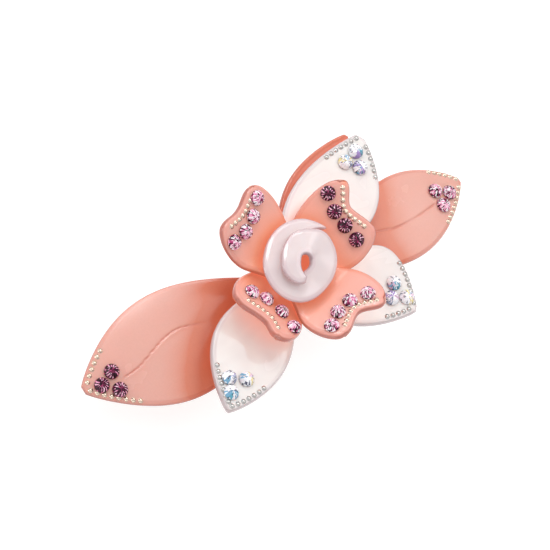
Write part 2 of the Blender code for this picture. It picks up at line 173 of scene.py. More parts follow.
LEAVES = {
    "peach_leaf_left": leaf(
        178.3, 49.6, (12.6, 0.54), (10.5, 0.56), 0, bowed, 0.988,
        rib=(
            (18.5, 1.0), (22.3, -0.4), (26, -1.4), (29.5, -1.1), (33, 0), (36.5, 1.3), (39, 1.75),
            (41.5, 1.9),
        ),
    ),
    "peach_leaf_right": leaf(
        0.4, 51.2, (8.1, 0.67), (9.9, 0.6), 0, bowed, 0.993,
        rib=((17, 0.8), (24.5, -1.0), (29, -2.2), (34, -2.4), (38.5, -2.2), (42, -1.8)),
    ),
    "peach_leaf_top": leaf(34.3, 35, (7.6, 0.5), (8.2, 0.5), 1, rising, 0.99),
    "white_petal_left": leaf(211.9, 34.4, (7.4, 0.52), (9.3, 0.54), 1, rising, 0.995),
    "white_petal_right": leaf(-44.5, 28.4, (12.2, 0.66), (7.0, 0.46), 1, rising, 0.992),
    "white_petal_top": leaf(30.5, 35.6, (7.6, 0.44), (10.4, 0.58), 2, rising, 0.978),
}


def leaf_height(values, x, y):
    return LEAF_UNDERSIDE + values["layer"] * LAYER + values["curve"](x, y)


def leaf_points(values, a, b):
    """The underside of a leaf at grid places a and b, both from -1 to 1."""
    along = LEAF_ROOT + (values["tip"] - LEAF_ROOT) * (a + 1) / 2
    across = np.zeros_like(a)
    for side, sign in (("left", 1), ("right", -1)):
        half, widest_at = values[side]
        power = math.log(0.5) / math.log(widest_at)
        width = half * np.maximum(0, np.sin(np.pi * along ** power)) ** LEAF_FULLNESS
        across = np.where(b * sign > 0, b * width, across)
    x, y = turned(along * values["length"], across, values["azimuth"])
    return np.stack((x, y, leaf_height(values, x, y)), axis=-1)


def petal(azimuth, layer, reach, lobe, half, notch):
    """A flower petal's values: lobe and half have one value for its left side and one for its right."""
    return {
        "azimuth": math.radians(azimuth), "layer": layer, "reach": reach * MM,
        "lobe": (lobe[0] * MM, lobe[1] * MM), "half": (half[0] * MM, half[1] * MM), "notch": notch,
    }


PETALS = {
    "upper_right": petal(17, 3, 18.2, (3.0, 0.3), (7.6, 9.2), -0.1),
    "lower_left": petal(197, 3, 14.7, (1.2, 1.0), (9.4, 7.3), 0.35),
    "upper_left": petal(107, 4, 17.3, (0.3, 1.3), (8.9, 7.4), 0.35),
    "lower_right": petal(287, 4, 16.0, (2.6, 0.9), (9.1, 8.8), 0.0),
}
STRIPS = {
    "flower_strip_lower": ("upper_right", "lower_left"),
    "flower_strip_upper": ("upper_left", "lower_right"),
}


def cup_height(rho):
    """Rise of a petal: flat in the middle, then an arc, then a straight slope."""
    run = np.maximum(0, rho - CUP_START)
    arc = CUP_FULL - CUP_START
    return np.where(run < arc, CUP_SLOPE * run * run / (2 * arc), CUP_SLOPE * (run - arc / 2))


def petal_height(values, x, y):
    out_x, out_y = math.cos(values["azimuth"]), math.sin(values["azimuth"])
    rho = (x - FLOWER_MIDDLE[0]) * out_x + (y - FLOWER_MIDDLE[1]) * out_y
    return LEAF_UNDERSIDE + values["layer"] * LAYER + cup_height(rho)


def petal_points(values, a, b):
    """The underside of a petal, a from 0 at the strip's middle to 1 at the notched end."""
    along = np.sin(a * np.pi / 2)
    notch = values["notch"]
    left = b > notch
    lobe = np.where(left, values["lobe"][0], values["lobe"][1])
    share = np.where(left, (b - notch) / (1 - notch), (notch - b) / (1 + notch))
    rise = 0.5 - 0.5 * np.cos(np.pi * np.minimum(share / LOBE_PEAK, 1))
    fall = LOBE_FALL * (np.maximum(0, share - LOBE_PEAK) / (1 - LOBE_PEAK)) ** 2
    reach = values["reach"] + lobe * (rise - fall)
    widest = np.where(b > 0, values["half"][0], values["half"][1])
    swell = 0.5 - 0.5 * np.cos(np.pi * np.minimum(along / WIDEST_AT, 1))
    round_in = np.clip((along - WIDEST_AT) / (1 - WIDEST_AT), 0, 1)
    end = widest * PETAL_END_SHARE
    half = np.where(
        along < WIDEST_AT,
        STRIP_ROOT_HALF + (widest - STRIP_ROOT_HALF) * swell,
        end + (widest - end) * np.sqrt(np.maximum(0, 1 - round_in ** 2)),
    )
    x, y = turned(along * reach, b * half, values["azimuth"])
    x, y = x + FLOWER_MIDDLE[0], y + FLOWER_MIDDLE[1]
    return np.stack((x, y, petal_height(values, x, y)), axis=-1)


def strip_points(ends, a, b):
    near, far = (PETALS[end] for end in ends)
    here = petal_points(near, np.abs(a), b)
    there = petal_points(far, np.abs(a), -b)
    return np.where((a >= 0)[..., None], here, there)


def ease(value):
    value = np.clip(value, 0, 1)
    return value * value * (3 - 2 * value)


def along_keys(keys, at):
    """A smooth curve through (angle, value) keys."""
    x, y = (np.array(column, float) for column in zip(*keys))
    last = len(x) - 1
    before, after = np.maximum(np.arange(last + 1) - 1, 0), np.minimum(np.arange(last + 1) + 1, last)
    slope = (y[after] - y[before]) / (x[after] - x[before])
    i = np.clip(np.searchsorted(x, at, side="right") - 1, 0, last - 1)
    run = x[i + 1] - x[i]
    t = (at - x[i]) / run
    value = (2 * t ** 3 - 3 * t ** 2 + 1) * y[i] + (3 * t ** 2 - 2 * t ** 3) * y[i + 1]
    return value + run * ((t ** 3 - 2 * t ** 2 + t) * slope[i] + (t ** 3 - t ** 2) * slope[i + 1])


def coil_points(a, b):
    """The rolled band's underside: a runs along it from its outer end, b from its outer edge in."""
    angle = COIL_FROM + (COIL_TO - COIL_FROM) * (a + 1) / 2
    out = np.stack((np.cos(np.radians(angle)), np.sin(np.radians(angle))), axis=-1)
    middle, hole = np.array(COIL_MIDDLE), np.array(COIL_HOLE_MIDDLE)
    blend = ease((angle - COIL_FROM) / COIL_MIDDLE_BLEND)[..., None]
    outer = middle + out * along_keys(COIL_OUTER_EDGE, angle)[..., None]
    inner = middle + (hole - middle) * blend + out * along_keys(COIL_INNER_EDGE, angle)[..., None]
    across = (b + 1) / 2
    flat = (outer + (inner - outer) * across[..., None]) * MM + np.array(FLOWER_MIDDLE)
    rise = along_keys(COIL_OUTER_RISE, angle) + along_keys(COIL_INNER_RISE, angle) * across
    return np.concatenate((flat, (LEAF_UNDERSIDE + COIL_BASE + rise * MM)[..., None]), axis=-1)


# Sheets with polished edges ------------------------------------------------------------------------

def places(count):
    """Grid places from -1 to 1, finer towards both ends where the edge is rounded."""
    return np.sin(np.linspace(-1, 1, count + 1) * np.pi / 2)


def mixed_places(count):
    """Finer towards both ends, and still fine in the middle."""
    even = np.linspace(-1, 1, count + 1)
    return EVEN_SHARE * even + (1 - EVEN_SHARE) * np.sin(even * np.pi / 2)


def slopes(height, x, y, step):
    """How steeply a surface rises along X and along Y."""
    along_x = (height(x + step, y) - height(x - step, y)) / (2 * step)
    along_y = (height(x, y + step) - height(x, y - step)) / (2 * step)
    return along_x, along_y


def graph_normals(points, height):
    """Normals of a surface whose height is known over the plane."""
    x, y = points[..., 0], points[..., 1]
    slope_x, slope_y = slopes(height, x, y, SLOPE_STEP)
    normal = np.stack((-slope_x, -slope_y, np.ones_like(x)), axis=-1)
    return normal / np.linalg.norm(normal, axis=-1, keepdims=True)


def grid_normals(points):
    """Normals of a grid of points, from its neighbours."""
    along = np.gradient(points, axis=0)
    across = np.gradient(points, axis=1)
    normal = np.cross(along, across)
    return normal / np.linalg.norm(normal, axis=-1, keepdims=True)


def distance_to_edge(points):
    """Distance of each grid point from the sheet's outline."""
    rim = np.concatenate((points[0], points[1:, -1], points[-1, -2::-1], points[-2::-1, 0]))
    start, step = rim[:-1], np.diff(rim, axis=0)
    square = np.maximum((step ** 2).sum(1), SMALLEST_SQUARE)
    flat = points.reshape(-1, 3)
    nearest = np.full(len(flat), np.inf)
    for first, move, size in zip(start, step, square):
        share = np.clip(((flat - first) @ move) / size, 0, 1)
        gap = flat - first - share[:, None] * move
        nearest = np.minimum(nearest, (gap ** 2).sum(1))
    return np.sqrt(nearest).reshape(points.shape[:2])


def edge_profile(distance):
    """The sheet's share of its full thickness at a distance from its edge: a bullnose and a bevel."""
    share = np.clip(distance / EDGE_ROUNDING, 0, 1)
    round_edge = (1 - (1 - share) ** BULLNOSE_POWER) ** (1 / BULLNOSE_POWER)
    return round_edge * (1 - BEVEL_DEPTH * np.clip(1 - distance / EDGE_BEVEL, 0, 1))


def sheet_piece(name, points, normal, thickness, material, carve):
    """A closed sheet on a grid of underside points; carve is how far its upper face is cut away."""
    middle = points + normal * thickness / 2
    edge = distance_to_edge(points)
    half = thickness / 2 * edge_profile(edge)[..., None]
    inwards = np.clip(edge / EDGE_ROUNDING, 0, 1)
    upper = middle + normal * half - normal * (carve * inwards)[..., None]
    lower = middle - normal * half
    rows, columns = points.shape[:2]
    count = rows * columns
    index = np.arange(count).reshape(rows, columns)
    verts = np.concatenate((upper.reshape(-1, 3), lower.reshape(-1, 3)))
    quads = np.stack(
        (index[:-1, :-1], index[1:, :-1], index[1:, 1:], index[:-1, 1:]), axis=-1
    ).reshape(-1, 4)
    faces = quads.tolist() + (quads[:, ::-1] + count).tolist()
    mesh = bpy.data.meshes.new(name)
    mesh.from_pydata(verts.tolist(), [], faces)
    # The groove and rim attributes place the painted shade in the rib's groove and along the sheet's edge
    for key, value in (("groove", carve / RIB_DEPTH), ("rim", np.clip(1 - edge / EDGE_BEVEL, 0, 1))):
        attribute = mesh.attributes.new(key, "FLOAT", "POINT")
        attribute.data.foreach_set("value", np.tile(value.ravel(), 2).astype(np.float32))
    shape = bmesh.new()
    shape.from_mesh(mesh)
    bmesh.ops.remove_doubles(shape, verts=shape.verts, dist=MERGE)
    bmesh.ops.recalc_face_normals(shape, faces=shape.faces)
    if shape.calc_volume(signed=True) < 0:
        bmesh.ops.reverse_faces(shape, faces=shape.faces)
    shape.to_mesh(mesh)
    shape.free()
    mesh.shade_smooth()
    mesh.materials.append(material)
    return add_object(name, mesh)


def smooth_path(spots):
    """A Catmull-Rom curve through a few flat points, given in millimetres."""
    control = np.array([spots[0], *spots, spots[-1]], float) * MM
    path = []
    for p0, p1, p2, p3 in zip(control, control[1:], control[2:], control[3:]):
        for t in np.linspace(0, 1, RIB_PATH_STEPS, endpoint=False):
            path.append(0.5 * (
                2 * p1 + (p2 - p0) * t + (2 * p0 - 5 * p1 + 4 * p2 - p3) * t ** 2
                + (3 * p1 - p0 - 3 * p2 + p3) * t ** 3
            ))
    return np.array(path + [control[-1]])


def rib_groove(values, points):
    """The depth of an engraved midrib: a groove that fades out at both ends."""
    path = smooth_path(values["rib"])
    u, v = turned(points[..., 0], points[..., 1], -values["azimuth"])
    flat = np.stack((u, v), axis=-1).reshape(-1, 1, 2)
    nearest = np.sqrt(((flat - path[None]) ** 2).sum(-1)).min(1).reshape(u.shape)
    fade = ease((u - path[0, 0]) / RIB_ROOT_FADE) * ease((path[-1, 0] - u) / RIB_TIP_FADE)
    return RIB_DEPTH * np.exp(-(nearest / RIB_HALF_WIDTH) ** 2) * fade


# Finishes ------------------------------------------------------------------------------------------

def linear(red, green, blue):
    """A display colour, 0 to 255, as linear light."""
    shares = [value / 255 for value in (red, green, blue)]
    return tuple(((c + 0.055) / 1.055) ** 2.4 if c > 0.04045 else c / 12.92 for c in shares) + (1,)


class Finish:
    """A node material with a Principled shader, built up a node at a time."""

    def __init__(self, name, **values):
        self.material = bpy.data.materials.new(name)
        self.material.use_nodes = True
        self.tree = self.material.node_tree
        self.shader = self.tree.nodes["Principled BSDF"]
        for key, value in values.items():
            self.shader.inputs[key.replace("_", " ")].default_value = value

    def node(self, kind, **values):
        made = self.tree.nodes.new("ShaderNode" + kind)
        for key, value in values.items():
            setattr(made, key, value)
        return made

    def link(self, source, target):
        self.tree.links.new(source, target)

    def attribute(self, name):
        return self.node("Attribute", attribute_name=name)

    def noise(self, scale, detail, distortion=0.0, stretch=None, turn=0.0):
        """Noise in the piece's own space; stretch and turn draw it out into streaks."""
        source = self.node("TexCoord").outputs["Object"]
        if stretch:
            mapping = self.node("Mapping")
            mapping.inputs["Scale"].default_value = stretch
            mapping.inputs["Rotation"].default_value = (0, 0, turn)
            self.link(source, mapping.inputs["Vector"])
            source = mapping.outputs["Vector"]
        noise = self.node("TexNoise")
        noise.inputs["Scale"].default_value = scale
        noise.inputs["Detail"].default_value = detail
        noise.inputs["Distortion"].default_value = distortion
        self.link(source, noise.inputs["Vector"])
        return noise.outputs["Fac"]

    def ramp(self, source, *stops):
        """stops are (place, colour)."""
        ramp = self.node("ValToRGB")
        elements = ramp.color_ramp.elements
        elements[0].position, elements[0].color = stops[0]
        elements[-1].position, elements[-1].color = stops[-1]
        for place, colour in stops[1:-1]:
            elements.new(place).color = colour
        self.link(source, ramp.inputs["Fac"])
        return ramp.outputs["Color"]

    def mix(self, share, first, second, blend="MIX"):
        """Mixes two colours; share, first and second are each a value or another node's socket."""
        mix = self.node("Mix", data_type="RGBA", blend_type=blend)
        sockets = {socket.identifier: socket for socket in mix.inputs}
        for key, value in (("Factor_Float", share), ("A_Color", first), ("B_Color", second)):
            if hasattr(value, "links"):
                self.link(value, sockets[key])
            else:
                sockets[key].default_value = value
        return next(socket for socket in mix.outputs if socket.identifier == "Result_Color")

    def use(self, source, name):
        self.link(source, self.shader.inputs[name])
        return self


def scalar(value):
    """A grey with the same value in each channel, for a ramp that drives a number."""
    return (value, value, value, 1)


def peach_acetate(name, glow_stops, *stops):
    """Translucent peach sheet. The stops are its colours from open places to closed-in ones, deeper where
    closed in as painted shade, and glow_stops its emission strengths, a painted glow which stands in for the
    light that passes through it.
    """
    finish = Finish(
        name, IOR=1.48, Subsurface_Weight=0.25, Subsurface_Scale=0.0016, Coat_Weight=0.3,
        Coat_Roughness=0.16,
    )
    finish.shader.inputs["Subsurface Radius"].default_value = (1.0, 0.45, 0.3)
    near = finish.attribute("near").outputs["Fac"]
    # The colour deepens where the sheet is closed in: painted shade
    depth = finish.ramp(near, *stops)
    cloud = finish.ramp(finish.noise(45, 1), (0.2, scalar(0.95)), (0.8, scalar(1.0)))
    grain = finish.ramp(finish.noise(2600, 2), (0.3, scalar(0.97)), (0.7, scalar(1.0)))
    tinted = finish.mix(1.0, depth, cloud, "MULTIPLY")
    grained = finish.mix(1.0, tinted, grain, "MULTIPLY")
    # The rib's groove is painted a darker peach: painted shade in the groove
    groove = finish.attribute("groove").outputs["Fac"]
    engraved = finish.mix(groove, grained, linear(206, 124, 104))
    # The rim is painted darker towards the edge: painted shade along the polished edge
    rim = finish.attribute("rim").outputs["Fac"]
    shade = finish.ramp(
        rim, (0.0, scalar(1.0)), (0.06, linear(250, 243, 242)), (0.72, linear(248, 238, 237)),
        (1.0, linear(188, 142, 134)),
    )
    finish.use(finish.mix(1.0, engraved, shade, "MULTIPLY"), "Base Color")
    # Emission that grows where the sheet is closed in: a painted glow
    glow = finish.ramp(near, *((place, scalar(strength)) for place, strength in glow_stops))
    finish.use(depth, "Emission Color").use(glow, "Emission Strength")
    roughness = finish.ramp(finish.noise(140, 3), (0.3, scalar(0.2)), (0.7, scalar(0.28)))
    return finish.use(roughness, "Roughness").material


def pearl_acetate(name, *stops):
    """White sheet with faint pearl streaks; the stops are its colours from open to closed-in places, a
    painted peach tint, with a painted glow.
    """
    finish = Finish(
        name, IOR=1.5, Subsurface_Weight=0.25, Subsurface_Scale=0.0018, Coat_Weight=1.0,
        Coat_Roughness=0.07, Sheen_Weight=0.05,
    )
    finish.shader.inputs["Subsurface Radius"].default_value = (1.0, 0.75, 0.65)
    near = finish.attribute("near").outputs["Fac"]
    # A painted peach tint and a painted glow where the sheet is closed in by peach sheets
    base = finish.ramp(near, *stops)
    glow = finish.ramp(near, (0.08, scalar(0.0)), (0.3, scalar(0.16)), (1.0, scalar(0.28)))
    finish.use(base, "Emission Color").use(glow, "Emission Strength")
    swirl = finish.noise(1.4, 1, distortion=1.2, stretch=(34, 90, 34), turn=0.5)
    pearl = finish.ramp(
        swirl, (0.3, linear(249, 246, 247)), (0.5, scalar(1.0)), (0.7, linear(252, 250, 252)),
    )
    tinted = finish.mix(1.0, base, pearl, "MULTIPLY")
    # The rim is painted darker and greyer towards the edge: painted shade along the polished edge
    rim = finish.attribute("rim").outputs["Fac"]
    shade = finish.ramp(
        rim, (0.0, scalar(1.0)), (0.08, linear(250, 246, 248)), (0.6, linear(246, 241, 244)),
        (1.0, linear(204, 190, 196)),
    )
    finish.use(finish.mix(1.0, tinted, shade, "MULTIPLY"), "Base Color")
    roughness = finish.ramp(swirl, (0.3, scalar(0.2)), (0.7, scalar(0.28)))
    return finish.use(roughness, "Roughness").material


def metal(name, colour, rough, wear_scale):
    """A plated metal with slight wear: a darker tint in places, and an uneven roughness."""
    finish = Finish(name, Metallic=1.0, IOR=2.0)
    worn = tuple(0.9 * channel for channel in colour[:3]) + (1,)
    tint = finish.ramp(finish.noise(wear_scale, 4), (0.3, worn), (0.7, colour))
    finish.use(tint, "Base Color")
    roughness = finish.ramp(
        finish.noise(wear_scale * 3, 3), (0.3, scalar(rough * 0.8)), (0.7, scalar(rough * 1.25)),
    )
    return finish.use(roughness, "Roughness").material


def cut_glass(name):
    """Each facet is painted with the colour it throws back from the foil behind it: painted reflections and
    glints.
    """
    finish = Finish(
        name, Metallic=0.05, IOR=1.4, Specular_IOR_Level=0.35, Coat_Weight=0.08, Coat_Roughness=0.2,
    )
    finish.use(finish.attribute("facet").outputs["Color"], "Base Color")
    roughness = finish.ramp(finish.noise(900, 2), (0.3, scalar(0.14)), (0.7, scalar(0.22)))
    return finish.use(roughness, "Roughness").material


# Two copies of one peach acetate: the leaves' copy is painted deeper in closed-in places, as painted shade,
# and the flower's is lighter with more painted glow
PEACH_LEAF_SHADED = peach_acetate(
    "Peach acetate", ((0.3, 0.0), (0.6, 0.05), (1.0, 0.2)), (0.0, linear(229, 171, 156)),
    (0.03, linear(226, 160, 142)), (0.1, linear(218, 130, 102)), (0.3, linear(208, 110, 80)),
    (1.0, linear(214, 106, 72)),
)
PEACH_FLOWER_GLOWING = peach_acetate(
    "Peach acetate flower", ((0.02, 0.04), (0.15, 0.13), (0.45, 0.16), (0.95, 0.4)),
    (0.0, linear(236, 174, 160)), (0.15, linear(235, 163, 142)), (0.35, linear(232, 150, 120)),
    (1.0, linear(228, 134, 98)),
)
PEARL = pearl_acetate(
    "Pearl acetate", (0.0, linear(226, 221, 216)), (0.3, linear(229, 222, 217)),
    (0.55, linear(236, 214, 206)), (1.0, linear(236, 186, 168)),
)
# The rolled centre's copy of the pearl acetate is darker and pinker than the petals' copy: painted shade
PEARL_ROLL_SHADED = pearl_acetate(
    "Pearl acetate roll", (0.0, linear(224, 210, 209)), (0.2, linear(223, 202, 200)),
    (0.45, linear(224, 188, 182)), (1.0, linear(228, 164, 146)),
)
STEEL = metal("Plated steel", linear(214, 212, 208), 0.26, 420)
GOLD = metal("Pale gold", linear(240, 219, 198), 0.24, 900)
ROSE = cut_glass("Rose crystal")
CLEAR = cut_glass("Clear crystal")


# Leaves, petals and the rolled centre ---------------------------------------------------------------

SHEETS = {}


def grid(rows, columns):
    return np.meshgrid(rows, columns, indexing="ij")


def add_sheet(name, points, normal, thickness, material, carve):
    piece = sheet_piece(name + "_polished", points, normal, thickness, material, carve)
    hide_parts(name)
    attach(piece, "clip")
    SHEETS[name] = piece


def uncarved(points):
    return np.zeros(points.shape[:2])


def add_leaf(name, values):
    rows, columns = LEAF_GRID
    across = mixed_places(RIBBED_COLUMNS) if values["rib"] else places(columns)
    a_grid, b_grid = grid(places(rows), across)
    points = leaf_points(values, a_grid, b_grid)
    normal = graph_normals(points, lambda x, y: leaf_height(values, x, y))
    groove = rib_groove(values, points) if values["rib"] else uncarved(points)
    if name.startswith("peach"):
        add_sheet(name, points, normal, SHEET, PEACH_LEAF_SHADED, groove)
    else:
        add_sheet(name, points, normal, SHEET, PEARL, groove)


def add_strip(name, ends):
    rows, columns = STRIP_GRID
    a_grid, b_grid = grid(np.linspace(-1, 1, rows + 1), places(columns))
    points = strip_points(ends, a_grid, b_grid)
    near, far = (
        graph_normals(points, lambda x, y, values=PETALS[end]: petal_height(values, x, y)) for end in ends
    )
    normal = np.where((a_grid >= 0)[..., None], near, far)
    add_sheet(name, points, normal, SHEET, PEACH_FLOWER_GLOWING, uncarved(points))


def add_rolled_centre():
    rows, columns = COIL_GRID
    points = coil_points(*grid(np.linspace(-1, 1, rows + 1), places(columns)))
    add_sheet(
        "rolled_centre", points, grid_normals(points), COIL_SHEET, PEARL_ROLL_SHADED,
        uncarved(points),
    )


for name, values in LEAVES.items():
    add_leaf(name, values)
for name, ends in STRIPS.items():
    add_strip(name, ends)
add_rolled_centre()


def tree_of(names):
    """A ray-casting tree over several sheets."""
    verts, faces = [], []
    for name in names:
        mesh = SHEETS[name].data
        first = len(verts)
        verts += [v.co.copy() for v in mesh.vertices]
        faces += [[first + i for i in p.vertices] for p in mesh.polygons]
    return BVHTree.FromPolygons(verts, faces)


def rays(count):
    """Cosine-weighted directions about +Z."""
    turn = math.pi * (3 - math.sqrt(5))
    made = []
    for i in range(count):
        radius = math.sqrt((i + 0.5) / count)
        made.append((radius * math.cos(i * turn), radius * math.sin(i * turn), math.sqrt(1 - radius ** 2)))
    return made


def nearness(mesh, tree):
    """How much of what each point sees is close by, from 0 to 1, which places the painted shade; points in
    one cell share a value.
    """
    fan = [Vector(ray) for ray in rays(NEAR_RAYS)]
    cells = {}
    share = np.zeros(len(mesh.vertices), np.float32)
    for vertex in mesh.vertices:
        key = tuple(round(c / NEAR_CELL) for c in vertex.co) + (vertex.normal.z > 0,)
        if key not in cells:
            turn = vertex.normal.to_track_quat("Z", "X")
            start = vertex.co + vertex.normal * NEAR_LIFT
            seen = 0.0
            for ray in fan:
                distance = tree.ray_cast(start, turn @ ray, NEAR_REACH)[3]
                if distance is not None:
                    seen += 1 - (distance / NEAR_REACH) ** 2
            cells[key] = seen / NEAR_RAYS
        share[vertex.index] = cells[key]
    return share


def smoothed(mesh, share):
    """Averages a vertex value over its neighbours, again and again."""
    pairs = np.array([e.vertices[:] for e in mesh.edges])
    counts = np.bincount(pairs.ravel(), minlength=len(share)).astype(np.float32)
    for _ in range(NEAR_SMOOTHING):
        total = np.bincount(pairs[:, 0], weights=share[pairs[:, 1]], minlength=len(share))
        total += np.bincount(pairs[:, 1], weights=share[pairs[:, 0]], minlength=len(share))
        share = NEAR_KEPT * share + (1 - NEAR_KEPT) * (total / np.maximum(counts, 1))
    return share


def is_peach(name):
    return not name.startswith(("white", "rolled"))


# A peach sheet is painted deeper beside any sheet, as painted shade, and a pearl one gets a painted peach
# tint from peach sheets only
ALL_TREE = tree_of(SHEETS)
PEACH_TREE = tree_of([name for name in SHEETS if is_peach(name)])
for name, piece in SHEETS.items():
    share = smoothed(piece.data, nearness(piece.data, ALL_TREE if is_peach(name) else PEACH_TREE))
    attribute = piece.data.attributes.new("near", "FLOAT", "POINT")
    attribute.data.foreach_set("value", share.astype(np.float32))


# Stones ---------------------------------------------------------------------------------------------

STONE_RADIUS = 1.6 * MM
STONE_HEIGHT = 1.3 * MM
STONE_SIDES = 28
STONE_RINGS = ((0.40, 1.0), (0.70, 0.80), (0.96, 0.34), (1.0, 0.14), (1.0, 0.0))
STAGGERED_RING = 1
WAVY_RINGS = (1, 2)
WAVE = 0.05
# The facets of ring 0 are the table, these two rings show spokes, and the girdle and back come next
SPOKED_FACETS = (1, 2)
SAME_WAY = 0.999

# Facet colours: the stones' own rose or clear tone, broken into painted reflections and glints, dark, mid
# and pale, with white sparks and tinted and dark flashes
DARK_ROSE = ((52, 6, 30), (84, 16, 48), (34, 4, 20))
MID_ROSE = ((172, 54, 104), (206, 100, 146), (136, 36, 78))
PALE_ROSE = ((250, 178, 206), (255, 206, 224), (236, 150, 188))
SPARKS = ((255, 250, 252), (255, 240, 246))
AURORA_PALE = ((250, 251, 253), (255, 255, 255), (238, 240, 246), (246, 236, 240))
AURORA_TINTS = (
    (128, 176, 206), (104, 172, 194), (168, 146, 204), (240, 222, 160), (196, 206, 222), (226, 190, 214),
    (150, 160, 186),
)
AURORA_DARK = ((84, 88, 108), (112, 112, 132), (66, 70, 92))

# Chances in a stone seen face on
DARK_TABLE = 0.75
PALE_SPOKE = 0.5
# Chances in a stone seen aslant, and the place round it where its shaded side starts
SHADE_FROM = 0.55
DARK_IN_SHADE = 0.36
DARK_IN_LIGHT = 0.14
DARKER_GIRDLE = 0.15
MID_TONE = 0.2
SPARK_FROM = 0.72
# A clear stone's chances, and the number and width of its tinted patches
DARK_FLASH = 0.14
TINTED = 0.7
PATCHES = 4
PATCH_WIDTH = 4


def base_and_axis(node):
    """The middle of a stone's flat back, and the way that it faces."""
    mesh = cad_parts[node].data
    normals = [p.normal.copy() for p in mesh.polygons]
    areas = [
        sum(p.area for p, n in zip(mesh.polygons, normals) if n.dot(normal) > SAME_WAY) for normal in normals
    ]
    back = normals[areas.index(max(areas))]
    corners = {i for p, n in zip(mesh.polygons, normals) if n.dot(back) > SAME_WAY for i in p.vertices}
    points = {tuple(round(c, 7) for c in mesh.vertices[i].co) for i in corners}
    middle = sum((Vector(p) for p in points), Vector()) / len(points)
    return middle, -back


def stone_verts(spin):
    """The table's middle, then each ring from the table down to the flat back, then the back's middle."""
    verts = [(0, 0, STONE_HEIGHT)]
    for ring, (radius, height) in enumerate(STONE_RINGS):
        for spoke in range(STONE_SIDES):
            stagger = 0.5 if ring == STAGGERED_RING else 0
            angle = spin + (spoke + stagger) * 2 * math.pi / STONE_SIDES
            out = STONE_RADIUS * radius * (1 - WAVE * (spoke % 2) * (ring in WAVY_RINGS))
            verts.append((out * math.cos(angle), out * math.sin(angle), STONE_HEIGHT * height))
    verts.append((0, 0, 0))
    return verts


def stone_faces():
    """The facets, and each one's ring and spoke. Ring 0 is the table and the last is the back."""
    faces, kinds = [], []
    rings = len(STONE_RINGS)
    for spoke in range(STONE_SIDES):
        after = (spoke + 1) % STONE_SIDES
        faces.append((0, 1 + spoke, 1 + after))
        kinds.append((0, spoke))
        for ring in range(rings - 1):
            high = 1 + ring * STONE_SIDES
            low = high + STONE_SIDES
            a, b, c, d = high + spoke, low + spoke, low + after, high + after
            if ring == STAGGERED_RING - 1:
                new = [(a, b, d), (b, c, d)]
            elif ring == STAGGERED_RING:
                new = [(a, b, c), (a, c, d)]
            else:
                new = [(a, b, c, d)]
            faces += new
            kinds += [(ring + 1, spoke)] * len(new)
        last = 1 + (rings - 1) * STONE_SIDES
        faces.append((1 + rings * STONE_SIDES, last + after, last + spoke))
        kinds.append((rings, spoke))
    return faces, kinds


def cut_stone(name, node, material, colours):
    """A domed, many-spoked flat-back stone; colours(ring, spoke) picks each facet's colour."""
    middle, axis = base_and_axis(node)
    place = Matrix.Translation(middle) @ axis.to_track_quat("Z", "X").to_matrix().to_4x4()
    verts = stone_verts(DICE.uniform(0, 2 * math.pi))
    faces, kinds = stone_faces()
    mesh = bpy.data.meshes.new(name)
    mesh.from_pydata([place @ Vector(v) for v in verts], [], faces)
    mesh.shade_flat()
    mesh.materials.append(material)
    layer = mesh.color_attributes.new("facet", "FLOAT_COLOR", "CORNER")
    for polygon, (ring, spoke) in zip(mesh.polygons, kinds):
        colour = linear(*colours(ring, spoke))
        for corner in polygon.loop_indices:
            layer.data[corner].color = colour
    piece = add_object(name, mesh)
    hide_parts(node)
    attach(piece, "clip")


def spoked(ring, spoke):
    """Seen face on: painted nearly black, with pale spokes of painted reflection."""
    if ring == 0:
        return DICE.choice(DARK_ROSE if DICE.random() < DARK_TABLE else MID_ROSE)
    if ring in SPOKED_FACETS:
        pale = spoke % 2 == 0 and DICE.random() < PALE_SPOKE
        return DICE.choice(PALE_ROSE if pale else DARK_ROSE)
    return DICE.choice(MID_ROSE if spoke % 3 == 0 else DARK_ROSE)


def make_sparkling():
    """Seen aslant: small pink, white and dark flashes of painted reflection, with painted shade darker round
    one side and on the girdle.
    """
    start = DICE.randrange(STONE_SIDES)

    def sparkling(ring, spoke):
        across = (spoke - start) % STONE_SIDES / STONE_SIDES
        roll = DICE.random()
        dark = DARK_IN_SHADE if across > SHADE_FROM else DARK_IN_LIGHT
        if ring > max(SPOKED_FACETS):
            dark += DARKER_GIRDLE
        if roll < dark:
            return DICE.choice(DARK_ROSE)
        if roll < dark + MID_TONE:
            return DICE.choice(MID_ROSE)
        return DICE.choice(SPARKS if roll > SPARK_FROM else PALE_ROSE)

    return sparkling


def make_aurora():
    """Clear, with a few tinted and dark patches of painted reflection."""
    hues = [DICE.choice(AURORA_TINTS) for _ in range(PATCHES)]
    starts = [DICE.randrange(STONE_SIDES) for _ in hues]

    def aurora(_ring, spoke):
        if DICE.random() < DARK_FLASH:
            return DICE.choice(AURORA_DARK)
        for hue, start in zip(hues, starts):
            if (spoke - start) % STONE_SIDES < PATCH_WIDTH and DICE.random() < TINTED:
                return hue
        return DICE.choice(AURORA_PALE)

    return aurora


for node in sorted(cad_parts):
    if not node.startswith("stone_"):
        continue
    if "white_petal" in node:
        cut_stone(node + "_cut", node, CLEAR, make_aurora())
    elif "upper_right" in node or "leaf_left" in node:
        cut_stone(node + "_cut", node, ROSE, spoked)
    else:
        cut_stone(node + "_cut", node, ROSE, make_sparkling())


# Micro studs ----------------------------------------------------------------------------------------

